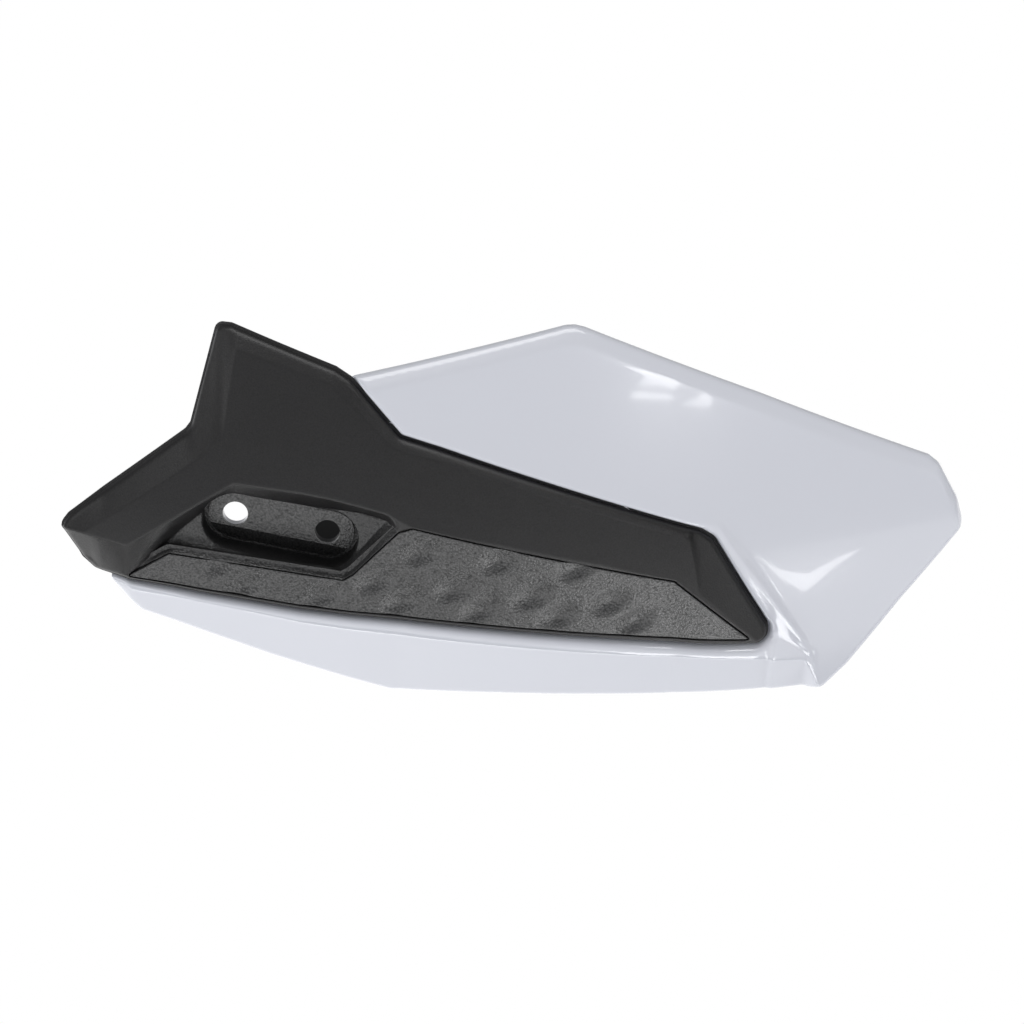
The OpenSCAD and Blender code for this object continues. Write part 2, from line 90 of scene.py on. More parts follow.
CARRIER_SCREWS = [(-46, 2), (-8, 46), (56, 16), (36, -23), (-31, -14)]
SHIELD_RIBS = [[(112, 22), (170, 8), (226, -8)], [(150, 44), (172, 8), (186, -40)], [(60, 48), (104, 58)]]
COVER_RIBS = [[(-30, 30), (-14, 24)], [(-2, 40), (34, 28)], [(70, 8), (74, 22)], [(100, 0), (104, 10)]]
TILT = math.radians(12)
LEAN = math.tan(math.radians(17))
TURN = math.tan(math.radians(31))


def at(x, line):
    """Height of a line of points at x, level beyond its ends."""
    return np.interp(x, [p[0] for p in line], [p[1] for p in line])


def sweep(x):
    return (x - 20) ** 2 / np.where(x > 20, 900.0, 1200.0)


def main_y(x, z):
    return -20 + LEAN * (z - 13.5) + np.where(z < 13.5, 0.0025, 0.0004) * (z - 13.5) ** 2 + sweep(x)


def brow_y(x):
    return main_y(x, at(x, BROW))


def border_y(x):
    left = [(-76, -9), (-67, -11), (-63.5, -13), (-53.5, -18.2), (-39, -18.6), (22, -20.4), (42, -21.5),
            (47, float(brow_y(np.array(47.0))))]
    return np.where(x > 47, brow_y(x), at(x, left))


def valley_y(x):
    depth = at(x, [(-53.5, 0), (-36, 1), (28.5, 1), (37.5, 0.6), (42, 0.05), (47, 0)])
    return border_y(x) + depth * (-12.5 - border_y(x))


def panel_y(x, z):
    return border_y(x) + 0.1 * (at(x, BORDER) - z)


def edge_drop(x):
    return at(x, [(-76, 1), (-62, 4), (-24, 4), (-17, 1.6), (0, 1.2), (176, 1.2)])


def low_z(x):
    return at(x, [(-64, -16), (6.5, -27.5), (56.5, -33.5), (113, -40.5), (170, -46.5)])


def low_y(x):
    return panel_y(x, low_z(x))


def crease_y(x):
    return np.where(x < 175, low_y(x) + 1.5, main_y(x, at(x, CREASE)))


def cover_rows(x):
    top, bevel, brow = at(x, COVER_TOP) + 0.3, at(x, BEVEL), at(x, BROW)
    upper, lower = bevel + (brow - bevel) * 0.33, bevel + (brow - bevel) * 0.67
    border = at(x, BORDER)

    def hollow(z):
        """The valley under the brow, and one plain slope on the end facet inboard of it."""
        slope = brow_y(x) + (border_y(x) - brow_y(x)) * (brow - z) / (brow - border)
        return np.where(x < -55, slope, valley_y(x))

    return [(110, main_y(x, 110) + edge_drop(x)), (top, main_y(x, top) + edge_drop(x)),
            (bevel, main_y(x, bevel)), (upper, main_y(x, upper)), (lower, main_y(x, lower)),
            (brow, brow_y(x)), (at(x, UNDER), hollow(at(x, UNDER))),
            (at(x, LEDGE), hollow(at(x, LEDGE))), (border, border_y(x)), (-110, panel_y(x, -110))]


def shield_rows(x):
    top, ridge, crease = at(x, SHIELD_TOP) + 0.3, at(x, RIDGE), at(x, CREASE)
    roll = top - 5.5
    rise = 2.2 * at(x, [(149, 0), (154, 0.15), (165, 1), (186, 1), (190, 0.5), (193, 0)])
    foot = ridge + 2.5
    face = [roll + (foot - roll) * t for t in np.linspace(0, 1, 40)]
    return ([(120, main_y(x, 120) + 2.5), (top, main_y(x, top) + 2.2)] + [(z, main_y(x, z)) for z in face]
            + [(ridge, main_y(x, ridge) - rise),
               ((ridge + crease) / 2, (crease_y(x) + main_y(x, ridge)) / 2), (crease, crease_y(x)),
               (-110, crease_y(x) + TURN * (crease + 110))])


def panel_rows(x):
    return [(60, panel_y(x, 60)), (-110, panel_y(x, -110))]


class Front:
    """A moulding's front as a grid of depths over x and z, with its creases softened."""
    STEP = 0.3

    def __init__(self, rows, soften, extra=None):
        self.x0, self.z0 = -84.0, -82.0
        self.xs = self.x0 + self.STEP * np.arange(1130)
        self.zs = self.z0 + self.STEP * np.arange(540)
        grid = np.empty((len(self.xs), len(self.zs)))
        lines = [np.broadcast_arrays(self.xs, z, y)[1:] for z, y in rows(self.xs)]
        z = np.stack([a for a, _ in lines]).astype(float)
        y = np.stack([b for _, b in lines])
        for j in range(1, len(z)):
            z[j] = np.minimum(z[j], z[j - 1] - 0.05)
        for i in range(len(self.xs)):
            grid[i] = np.interp(self.zs, z[::-1, i], y[::-1, i])
        if extra is not None:
            grid += extra(*np.meshgrid(self.xs, self.zs, indexing="ij"))
        n = max(1, int(3 * soften / self.STEP))
        k = np.exp(-0.5 * (np.arange(-n, n + 1) * self.STEP / soften) ** 2)
        k /= k.sum()
        for axis in (0, 1):
            pad = [(n, n) if a == axis else (0, 0) for a in (0, 1)]
            wide = np.pad(grid, pad, mode="edge")
            size = grid.shape[axis]
            grid = sum(w * np.take(wide, range(j, j + size), axis=axis) for j, w in enumerate(k))
        self.grid = grid

    def __call__(self, x, z):
        u = np.clip((np.asarray(x) - self.x0) / self.STEP, 0, len(self.xs) - 1.001)
        v = np.clip((np.asarray(z) - self.z0) / self.STEP, 0, len(self.zs) - 1.001)
        i, j = u.astype(int), v.astype(int)
        a, b = u - i, v - j
        g = self.grid
        return ((1 - a) * (1 - b) * g[i, j] + a * (1 - b) * g[i + 1, j]
                + (1 - a) * b * g[i, j + 1] + a * b * g[i + 1, j + 1])


# ---------------------------------------------------------------- flat outlines
def area(loop):
    p = np.asarray(loop, float)
    q = np.roll(p, -1, axis=0)
    return 0.5 * float(np.sum(p[:, 0] * q[:, 1] - q[:, 0] * p[:, 1]))


def rounded(points, radius, step=0.9):
    """A closed outline with its corners rounded, as points a step apart, anticlockwise."""
    if area(points) < 0:
        points = points[::-1]
    p = [Vector(q) for q in points]
    out = []
    n = len(p)
    for i in range(n):
        a, b, c = p[i - 1], p[i], p[(i + 1) % n]
        u, w = (a - b), (c - b)
        r = radius(b) if callable(radius) else radius
        turn = u.angle(w, math.pi)
        cut = min(r / max(math.tan(turn / 2), 1e-3), 0.45 * u.length, 0.45 * w.length)
        s, e = b + u.normalized() * cut, b + w.normalized() * cut
        m = max(2, int(cut * 2 / step)) if turn < math.radians(178) else 1
        for k in range(m + 1):
            t = k / m
            out.append((1 - t) ** 2 * s + 2 * t * (1 - t) * b + t * t * e)
    dense = []
    for i, a in enumerate(out):
        b = out[(i + 1) % len(out)]
        k = max(1, int((b - a).length / step))
        dense += [tuple(a.lerp(b, j / k)) for j in range(k)]
    keep = [dense[0]]
    for q in dense[1:]:
        if math.hypot(q[0] - keep[-1][0], q[1] - keep[-1][1]) > 0.08:
            keep.append(q)
    return np.array(keep)


def slot_loop(length, height, step=0.8):
    """The slotted outline of the boss and its pocket, anticlockwise."""
    r, reach = height / 2, (length - height) / 2
    n = max(12, int(math.pi * r / step))
    pts = [(reach + r * math.cos(a), r * math.sin(a))
           for a in np.linspace(-math.pi / 2, math.pi / 2, n)]
    k = max(2, int(2 * reach / step))
    pts += [(reach - 2 * reach * j / k, r) for j in range(1, k)]
    pts += [(-reach + r * math.cos(a), r * math.sin(a))
            for a in np.linspace(math.pi / 2, 1.5 * math.pi, n)]
    pts += [(-reach + 2 * reach * j / k, -r) for j in range(1, k)]
    c, s = math.cos(-TILT), math.sin(-TILT)
    return np.array([(x * c - z * s, x * s + z * c) for x, z in pts])


def normals(loop):
    """Outward direction at each point of an anticlockwise loop."""
    d = np.roll(loop, -1, axis=0) - np.roll(loop, 1, axis=0)
    n = np.stack([d[:, 1], -d[:, 0]], 1)
    return n / np.maximum(np.linalg.norm(n, axis=1), 1e-9)[:, None]


def inside(loop, pts):
    x, z = pts[:, 0], pts[:, 1]
    hit = np.zeros(len(pts), bool)
    a = loop
    b = np.roll(loop, -1, axis=0)
    for (x1, z1), (x2, z2) in zip(a, b):
        if z1 == z2:
            continue
        cross = ((z1 > z) != (z2 > z)) & (x < (x2 - x1) * (z - z1) / (z2 - z1) + x1)
        hit ^= cross
    return hit


def distance(loop, pts, far=9.0):
    """Distance from each point to a loop, exact when under far."""
    out = np.full(len(pts), far)
    a, b = loop, np.roll(loop, -1, axis=0)
    for p, q in zip(a, b):
        lo, hi = np.minimum(p, q) - far, np.maximum(p, q) + far
        near = np.nonzero((pts[:, 0] > lo[0]) & (pts[:, 0] < hi[0])
                          & (pts[:, 1] > lo[1]) & (pts[:, 1] < hi[1]))[0]
        if not len(near):
            continue
        d = q - p
        t = np.clip(((pts[near] - p) @ d) / max(float(d @ d), 1e-12), 0, 1)
        gap = np.linalg.norm(pts[near] - p - t[:, None] * d, axis=1)
        out[near] = np.minimum(out[near], gap)
    return out


def clear_of(points, others, gap):
    """The points that lie further than gap from every one of the others."""
    if not len(others) or not len(points):
        return points
    tree = KDTree(len(others))
    for i, p in enumerate(others):
        tree.insert((p[0], p[1], 0), i)
    tree.balance()
    return points[[tree.find((p[0], p[1], 0))[2] > gap for p in points]]


def along(lines, step=0.6, spread=(-0.6, -0.25, 0, 0.25, 0.6)):
    """Points along each line and a little to either side, so that triangles follow its crease."""
    out = []
    for line in lines:
        for (x1, z1), (x2, z2) in zip(line, line[1:]):
            length = math.hypot(x2 - x1, z2 - z1)
            nx, nz = -(z2 - z1) / length, (x2 - x1) / length
            for t in np.arange(0, 1, step / length):
                for s in spread:
                    out.append((x1 + (x2 - x1) * t + nx * s, z1 + (z2 - z1) * t + nz * s))
    kept, cells = [], set()
    for p in out:
        cell = (round(p[0] / 0.3), round(p[1] / 0.3))
        if cell not in cells:
            cells.add(cell)
            kept.append(p)
    return np.array(kept)


# ---------------------------------------------------------------- meshes
class Solid:
    """Gathers closed solids, in millimetres, into one mesh."""

    def __init__(self):
        self.v, self.f, self.count = [], [], 0

    def add(self, verts, faces):
        self.v.append(np.asarray(verts, float))
        self.f += [tuple(int(i) + self.count for i in f) for f in faces]
        self.count += len(verts)

    def object(self, name, material, sharp=38):
        mesh = bpy.data.meshes.new(name)
        mesh.from_pydata((np.concatenate(self.v) * MM).tolist(), [], self.f)
        mesh.validate()
        mesh.polygons.foreach_set("use_smooth", [True] * len(mesh.polygons))
        mesh.set_sharp_from_angle(angle=math.radians(sharp))
        mesh.materials.append(material)
        obj = bpy.data.objects.new(name, mesh)
        bpy.context.scene.collection.objects.link(obj)
        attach(obj, "root")
        return obj


def sheet(solid, loops, keep, front, back, lips=(), step=0.8, extra=None):
    """A closed shell over the part of the x-z plane that keep allows.

    loops are its possible edges, lips gives (loop, radius) for each rounded edge, and front and back
    give the depth of either side. A radius can be a function of x and z. extra holds points along an
    edge or a crease that isn't a loop."""
    lips = [(loop, r if callable(r) else (lambda x, z, r=r: np.full(np.shape(x), float(r))))
            for loop, r in lips]
    pts, edges = [], []
    for loop in loops:
        base = len(pts)
        pts += [tuple(p) for p in loop]
        edges += [(base + i, base + (i + 1) % len(loop)) for i in range(len(loop))]
    loose = []
    clear = 0.45 * step
    for loop, r in lips:
        n = normals(loop)
        width = r(loop[:, 0], loop[:, 1])
        for share in (0.08, 0.28, 0.58, 1):
            for side in (-1, 1):
                d = share * width
                ring = loop + (side * d)[:, None] * n
                ok = keep(ring)
                ring, d = ring[ok], d[ok]
                if len(ring):
                    ring = ring[distance(loop, ring) > 0.93 * d]
                for other, _ in lips:
                    if other is not loop and len(ring):
                        ring = ring[distance(other, ring) > 0.3]
                loose += [tuple(p) for p in ring]
    every = np.concatenate(loops)
    lo, hi = every.min(0), every.max(0)
    gx = np.arange(math.floor(lo[0] / step) * step, hi[0] + step, step)
    gz = np.arange(math.floor(lo[1] / step) * step, hi[1] + step, step)
    grid = np.stack(np.meshgrid(gx, gz, indexing="ij"), -1).reshape(-1, 2)
    grid = grid[keep(grid)]
    if extra is not None:
        extra = clear_of(extra[keep(extra)], pts + loose, 0.22)
        loose += [tuple(p) for p in extra]
        grid = clear_of(grid, extra, clear)
    reach = {id(loop): r for loop, r in lips}
    for loop in loops:
        r = reach[id(loop)](grid[:, 0], grid[:, 1]) if id(loop) in reach else 0
        grid = grid[distance(loop, grid) > r + clear]
    pts += loose + [tuple(p) for p in grid]
    out = delaunay_2d_cdt([Vector(p) for p in pts], edges, [], 0, 1e-5, False)
    flat = np.array([tuple(p) for p in out[0]])
    tris = np.array(out[2])
    tris = tris[keep(flat[tris].mean(1))]
    a, b, c = flat[tris[:, 0]], flat[tris[:, 1]], flat[tris[:, 2]]
    turn = (b[:, 0] - a[:, 0]) * (c[:, 1] - a[:, 1]) - (b[:, 1] - a[:, 1]) * (c[:, 0] - a[:, 0])
    tris[turn < 0] = tris[turn < 0][:, ::-1]
    used, tris = np.unique(tris, return_inverse=True)
    tris = tris.reshape(-1, 3)
    flat = flat[used]
    y = front(flat[:, 0], flat[:, 1]).copy()
    drop = np.zeros(len(flat))
    for loop, radius in lips:
        r = radius(flat[:, 0], flat[:, 1])
        d = np.minimum(distance(loop, flat), r)
        drop = np.maximum(drop, r - np.sqrt(np.maximum(r * r - (r - d) ** 2, 0)))
    y += drop
    rear = np.maximum(back(flat[:, 0], flat[:, 1]), y + 0.05)
    n = len(flat)
    verts = np.concatenate([np.stack([flat[:, 0], y, flat[:, 1]], 1),
                            np.stack([flat[:, 0], rear, flat[:, 1]], 1)])
    faces = [tuple(t) for t in tris] + [(t[2] + n, t[1] + n, t[0] + n) for t in tris]
    seen = {}
    for t in tris:
        for i, j in ((t[0], t[1]), (t[1], t[2]), (t[2], t[0])):
            seen[(i, j)] = seen.get((i, j), 0) + 1
    for i, j in seen:
        if (j, i) not in seen:
            faces.append((j, i, i + n, j + n))
    solid.add(verts, faces)


def post(solid, x, z, radius, start, end, hole=0.0, sides=28):
    """A round post along Y, blind-bored from its far end when hole is over 0."""
    ring = [(math.cos(2 * math.pi * k / sides), math.sin(2 * math.pi * k / sides)) for k in range(sides)]
    soft = 0.35
    profile = [(radius, start), (radius, end - soft), (radius - soft, end)]
    if hole:
        profile += [(hole, end), (hole, start + 1)]
    verts, faces = [], []
    for r, y in profile:
        verts += [(x + r * c, y, z + r * s) for c, s in ring]
    m = len(profile)
    for level in range(m - 1):
        for k in range(sides):
            a, b = level * sides + k, level * sides + (k + 1) % sides
            faces.append((a, a + sides, b + sides, b))
    faces.append(tuple(range(sides)))
    faces.append(tuple((m - 1) * sides + k for k in reversed(range(sides))))
    solid.add(verts, faces)


def tube(solid, inner, outer, start, end):
    """A wall between two matching loops, from the depths start to the depth end."""
    n = len(inner)
    verts = [(p[0], s, p[1]) for p, s in zip(inner, start)] + [(p[0], end, p[1]) for p in inner]
    verts += [(p[0], s, p[1]) for p, s in zip(outer, start)] + [(p[0], end, p[1]) for p in outer]
    faces = []
    for i in range(n):
        j = (i + 1) % n
        faces += [(i, i + n, j + n, j), (j + 2 * n, j + 3 * n, i + 3 * n, i + 2 * n),
                  (i + n, i + 3 * n, j + 3 * n, j + n), (j, j + 2 * n, i + 2 * n, i)]
    solid.add(verts, faces)


def rib(solid, points, front, near, far, width=1.7):
    """A low stiffening rib that follows the back of a shell."""
    for (x1, z1), (x2, z2) in zip(points, points[1:]):
        length = math.hypot(x2 - x1, z2 - z1)
        nx, nz = -(z2 - z1) / length * width / 2, (x2 - x1) / length * width / 2
        m = max(2, int(length / 4))
        verts, faces = [], []
        for k in range(m + 1):
            t = k / m
            x, z = x1 + (x2 - x1) * t, z1 + (z2 - z1) * t
            y = float(front(x, z))
            verts += [(x + nx, y + near, z + nz), (x - nx, y + near, z - nz),
                      (x - nx * 0.7, y + far, z - nz * 0.7), (x + nx * 0.7, y + far, z + nz * 0.7)]
        for k in range(m):
            for e in range(4):
                a, b = 4 * k + e, 4 * k + (e + 1) % 4
                faces.append((a, b, b + 4, a + 4))
        faces += [(3, 2, 1, 0), (4 * m, 4 * m + 1, 4 * m + 2, 4 * m + 3)]
        solid.add(verts, faces)


# ---------------------------------------------------------------- materials
def new_group(name, inputs, outputs):
    group = bpy.data.node_groups.new(name, "ShaderNodeTree")
    for label, kind, value in inputs:
        socket = group.interface.new_socket(name=label, in_out="INPUT", socket_type=kind)
        if value is not None:
            socket.default_value = value
    for label, kind in outputs:
        group.interface.new_socket(name=label, in_out="OUTPUT", socket_type=kind)
    return group, group.nodes.new("NodeGroupInput"), group.nodes.new("NodeGroupOutput")


def math_node(tree, kind, a, b=None, c=None, clamp=False):
    n = tree.nodes.new("ShaderNodeMath")
    n.operation = kind
    n.use_clamp = clamp
    for i, v in enumerate((a, b, c)):
        if v is None:
            continue
        if isinstance(v, (int, float)):
            n.inputs[i].default_value = v
        else:
            tree.links.new(v, n.inputs[i])
    return n.outputs[0]


def grain_group():
    """Moulded-in leather grain: pebbles of a given size, with finer noise over them."""
    g, gin, gout = new_group("moulded_grain", [
        ("Pebble Size", "NodeSocketFloat", 0.0008), ("Relief", "NodeSocketFloat", 0.5),
        ("Evenness", "NodeSocketFloat", 0.5)],
        [("Normal", "NodeSocketVector"), ("Height", "NodeSocketFloat")])
    place = g.nodes.new("ShaderNodeTexCoord")
    scale = math_node(g, "DIVIDE", 1.0, gin.outputs["Pebble Size"])
    cells = g.nodes.new("ShaderNodeTexVoronoi")
    cells.feature = "SMOOTH_F1"
    cells.inputs["Smoothness"].default_value = 0.6
    g.links.new(place.outputs["Object"], cells.inputs["Vector"])
    g.links.new(scale, cells.inputs["Scale"])
    fine = g.nodes.new("ShaderNodeTexNoise")
    fine.inputs["Detail"].default_value = 3
    fine.inputs["Roughness"].default_value = 0.65
    g.links.new(place.outputs["Object"], fine.inputs["Vector"])
    g.links.new(math_node(g, "MULTIPLY", scale, 0.8), fine.inputs["Scale"])
    pebble = math_node(g, "SUBTRACT", 1.0, cells.outputs["Distance"])
    mix = g.nodes.new("ShaderNodeMix")
    g.links.new(gin.outputs["Evenness"], mix.inputs["Factor"])
    g.links.new(pebble, mix.inputs["A"])
    g.links.new(fine.outputs["Fac"], mix.inputs["B"])
    bump = g.nodes.new("ShaderNodeBump")
    g.links.new(gin.outputs["Relief"], bump.inputs["Strength"])
    g.links.new(math_node(g, "MULTIPLY", gin.outputs["Pebble Size"], 0.7), bump.inputs["Distance"])
    g.links.new(mix.outputs["Result"], bump.inputs["Height"])
    g.links.new(bump.outputs["Normal"], gout.inputs["Normal"])
    g.links.new(mix.outputs["Result"], gout.inputs["Height"])
    return g


def wear_group():
    """Handling dust and smudges: soft patches that lift the colour and the roughness a little."""
    g, gin, gout = new_group("handling", [
        ("Amount", "NodeSocketFloat", 0.1), ("Patch Size", "NodeSocketFloat", 0.03)],
        [("Mask", "NodeSocketFloat")])
    place = g.nodes.new("ShaderNodeTexCoord")
    cloud = g.nodes.new("ShaderNodeTexNoise")
    cloud.inputs["Detail"].default_value = 5
    cloud.inputs["Roughness"].default_value = 0.6
    g.links.new(place.outputs["Object"], cloud.inputs["Vector"])
    g.links.new(math_node(g, "DIVIDE", 1.0, gin.outputs["Patch Size"]), cloud.inputs["Scale"])
    g.links.new(math_node(g, "MULTIPLY", math_node(g, "SUBTRACT", cloud.outputs["Fac"], 0.35, clamp=True),
                          gin.outputs["Amount"]), gout.inputs["Mask"])
    return g


GRAIN = grain_group()
WEAR = wear_group()


def material(name, color, rough, metallic=0.0, coat=0.0, grain=None, wear=0.0, spec=0.5, pit_shade=0.0):
    """A procedural finish. grain is (pebble size in metres, relief, evenness). The last argument is painted
    shade: it darkens the colour and the specular in the grain's pits.
    """
    m = bpy.data.materials.new(name)
    m.use_nodes = True
    t = m.node_tree
    p = t.nodes["Principled BSDF"]
    p.inputs["Base Color"].default_value = (*color, 1)
    p.inputs["Roughness"].default_value = rough
    p.inputs["Metallic"].default_value = metallic
    p.inputs["Coat Weight"].default_value = coat
    p.inputs["Coat Roughness"].default_value = 0.04
    p.inputs["Specular IOR Level"].default_value = spec
    base = t.nodes.new("ShaderNodeRGB")
    base.outputs[0].default_value = (*color, 1)
    shade = base.outputs[0]
    if grain:
        g = t.nodes.new("ShaderNodeGroup")
        g.node_tree = GRAIN
        for label, value in zip(("Pebble Size", "Relief", "Evenness"), grain):
            g.inputs[label].default_value = value
        t.links.new(g.outputs["Normal"], p.inputs["Normal"])
        # Painted shade in the grain's pits: colour and specular are scaled down where the grain is low.
        if pit_shade:
            mix = t.nodes.new("ShaderNodeMix")
            mix.data_type = "RGBA"
            mix.blend_type = "MULTIPLY"
            mix.inputs["Factor"].default_value = 1.0
            level = math_node(t, "MULTIPLY_ADD", g.outputs["Height"], 2 * pit_shade, 1 - pit_shade)
            t.links.new(shade, mix.inputs["A"])
            t.links.new(level, mix.inputs["B"])
            t.links.new(math_node(t, "MULTIPLY", level, spec), p.inputs["Specular IOR Level"])
            shade = mix.outputs["Result"]
    if wear:
        w = t.nodes.new("ShaderNodeGroup")
        w.node_tree = WEAR
        w.inputs["Amount"].default_value = wear
        mix = t.nodes.new("ShaderNodeMix")
        mix.data_type = "RGBA"
        t.links.new(w.outputs["Mask"], mix.inputs["Factor"])
        t.links.new(shade, mix.inputs["A"])
        mix.inputs["B"].default_value = (0.45, 0.44, 0.43, 1)
        shade = mix.outputs["Result"]
        t.links.new(math_node(t, "ADD", w.outputs["Mask"], rough), p.inputs["Roughness"])
    t.links.new(shade, p.inputs["Base Color"])
    return m


WHITE = material("white_moulding", (0.785, 0.80, 0.865), 0.18, coat=0.8, wear=0.02)
BLACK = material("black_moulding", (0.011, 0.0105, 0.011), 0.40, grain=(0.0005, 0.25, 0.7), wear=0.015,
                 pit_shade=0.25, spec=0.55)
GRAINED = material("grained_moulding", (0.019, 0.019, 0.0195), 0.35, grain=(0.0007, 0.6, 0.45), wear=0.02,
                   pit_shade=0.9, spec=1.0)
HOLLOW = material("grained_valley", (0.016, 0.016, 0.0165), 0.40, grain=(0.0007, 0.6, 0.45), wear=0.01,
                  pit_shade=0.6, spec=0.8)
INNER = material("inner_moulding", (0.006, 0.006, 0.006), 0.75, spec=0.15)
STEEL = material("steel", (0.58, 0.58, 0.60), 0.32, metallic=1.0, wear=0.08)
# Painted shade: a near-black matte finish for the outboard sleeve, standing for the shade inside its bore.
SLEEVE_PAINTED_SHADE = material("outboard_sleeve_painted_shade", (0.012, 0.012, 0.0125), 0.6, spec=0.25)
SCREW = material("screw_steel", (0.42, 0.42, 0.44), 0.36, metallic=1.0, wear=0.08)


# ---------------------------------------------------------------- the mouldings
DIMPLE = 1.9
# Thickness of the cover's and the shield's walls.
WALL = 3.0
# Width of the seam between the cover and the shield.
SEAM = 1.3
# Depths of the shield's ledge behind the cover's front, and height of a screw's pad on it.
LEDGE_FRONT, LEDGE_BACK, PAD = 3.3, 5.9, 3.5
# Depth of the carrier plate's front, where the cover's tube and posts end.
PLATE = -2.6


def dimple_field(x, z):
    """Slanting dimples in three staggered rows."""
    out = np.zeros(x.shape)
    slant = math.radians(28)
    for row, shift in enumerate((0, 0.41, -0.26)):
        for i in range(-4, 5):
            cx = 50 + (i + shift) * 27.5
            cz = -5.5 - (0, 12.9, 20)[row] - 0.12 * (cx - 50)
            if not (-36 < cx < 142 and low_z(cx) + 1.5 < cz < at(cx, BORDER) - 0.5):
                continue
            u = (x - cx) * math.cos(slant) + (z - cz) * math.sin(slant)
            v = -(x - cx) * math.sin(slant) + (z - cz) * math.cos(slant)
            q = (u / 10.0) ** 2 + (v / 5.8) ** 2
            out = np.maximum(out, DIMPLE * np.clip(1 - q, 0, 1) ** 2)
    return out


cover_front = Front(cover_rows, 0.27)
shield_front = Front(shield_rows, 0.65)
panel_front = Front(panel_rows, 0.6, dimple_field)
panel_plain = Front(panel_rows, 1.0)


def cover_corner(p):
    """Corner radius for the cover: tight where the tail's points are."""
    return 2.2 if p[0] < 22 else 5.0


cover_loop = rounded(COVER, cover_corner)
window_loop = rounded(PANEL, 1.0)
rim_loop = slot_loop(55.5, 21.2)
shield_loop = rounded(SHIELD, 4.0)


def grow(loop, d):
    """A loop moved outwards by d, for small d."""
    return loop + d * normals(loop)


seam_loop = grow(cover_loop, SEAM)
panel_loop = grow(window_loop, -0.35)
tray_loop = grow(window_loop, 2.6)

cover = Solid()
sheet(cover, [cover_loop, window_loop, rim_loop],
      lambda p: inside(cover_loop, p) & ~inside(window_loop, p) & ~inside(rim_loop, p),
      cover_front, lambda x, z: cover_front(x, z) + WALL,
      lips=[(cover_loop, 1.5), (window_loop, 0.5), (rim_loop, 0.8)],
      extra=along([BROW, UNDER, LEDGE, BEVEL, BORDER]))
tray_edge = grow(cover_loop, -0.7)
sheet(cover, [tray_loop, tray_edge], lambda p: inside(tray_loop, p) & inside(tray_edge, p),
      lambda x, z: panel_plain(x, z) + 2.6, lambda x, z: panel_plain(x, z) + 4.6, step=3.0)
tube_in = slot_loop(55.56, 21.26)
tube_out = tube_in + 2.0 * normals(tube_in)
tube(cover, tube_in, tube_out, cover_front(tube_in[:, 0], tube_in[:, 1]) + 1.6, PLATE)


def depth_behind(x, z):
    """Depth of the cover's back at a point."""
    return float(cover_front(x, z)) + WALL


def pad_back(p):
    """Depth of the end of a shield screw's pad."""
    return float(cover_front(*p)) + LEDGE_BACK + PAD


for p in CARRIER_SCREWS:
    post(cover, p[0], p[1], 3.7, depth_behind(*p) + 0.5, PLATE, hole=2.0)
for p in SHIELD_SCREWS:
    post(cover, p[0], p[1], 3.3, depth_behind(*p) - 0.5, pad_back(p) - 0.4, hole=2.0)
for run in COVER_RIBS:
    rib(cover, run, cover_front, 2.4, 6.5, 1.6)
# Painted shade: a thin black sheet behind the seam, so the groove between the cover and the shield has a black
# floor.
groove_shade_loop = grow(cover_loop, SEAM - 0.5)
groove_shade_in = grow(cover_loop, -1.6)
sheet(cover, [groove_shade_loop, groove_shade_in], lambda p: inside(groove_shade_loop, p) & ~inside(groove_shade_in, p),
      lambda x, z: cover_front(x, z) + 2.3, lambda x, z: cover_front(x, z) + WALL)
cover_object = cover.object("front_cover_shell", BLACK)
cover_object.data.materials.append(HOLLOW)
for face in cover_object.data.polygons:
    x, _, z = face.center / MM
    if face.normal.y < -0.1 and -54 < x < 44 and at(x, BORDER) < z < at(x, UNDER):
        face.material_index = 1

panel = Solid()
sheet(panel, [panel_loop], lambda p: inside(panel_loop, p), panel_front,
      lambda x, z: panel_plain(x, z) + 2.3, lips=[(panel_loop, 0.4)])
panel_object = panel.object("dimpled_panel", GRAINED)


def seam_lip(x, z):
    """The shield's edge is rounded generously below the cover, and tightly above and beside it."""
    below = at(x, [(-70, -8), (0, -16), (56, -20), (150, -30), (165, -38), (200, -38)]) - z
    return 1.5 + 2.0 * np.clip(below / 6, 0, 1)


shield = Solid()
sheet(shield, [shield_loop, seam_loop], lambda p: inside(shield_loop, p) & ~inside(seam_loop, p),
      shield_front, lambda x, z: shield_front(x, z) + WALL,
      lips=[(shield_loop, 1.3), (seam_loop, seam_lip)], extra=along([RIDGE, CREASE]))
shield_edge = grow(shield_loop, -0.7)
curb_loop = grow(cover_loop, SEAM + 4)
ledge_loop = grow(cover_loop, SEAM + 2)
sheet(shield, [shield_edge, curb_loop, seam_loop],
      lambda p: inside(shield_edge, p) & inside(curb_loop, p) & ~inside(seam_loop, p),
      lambda x, z: cover_front(x, z) + seam_lip(x, z) + 1.1,
      lambda x, z: cover_front(x, z) + LEDGE_BACK, step=2.0)
ledge_end = cover_loop - 9 * normals(cover_loop)
ledge_end = ledge_end[distance(cover_loop, ledge_end, 12) > 8.9]
sheet(shield, [shield_edge, ledge_loop],
      lambda p: inside(shield_edge, p) & inside(ledge_loop, p) & (distance(cover_loop, p, 12) < 9.01),
      lambda x, z: cover_front(x, z) + LEDGE_FRONT + 0.74 * (seam_lip(x, z) - 1.5),
      lambda x, z: cover_front(x, z) + LEDGE_BACK, step=1.2, extra=ledge_end)
for p in SHIELD_SCREWS:
    post(shield, p[0], p[1], 6.7, float(cover_front(*p)) + 5.6, pad_back(p), hole=3.9)
for run in SHIELD_RIBS:
    rib(shield, run, shield_front, 2.4, 7.0, 1.8)
shield_object = shield.object("wind_shield_shell", WHITE)

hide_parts("front_cover")
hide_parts("textured_panel")
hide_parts("wind_shield")

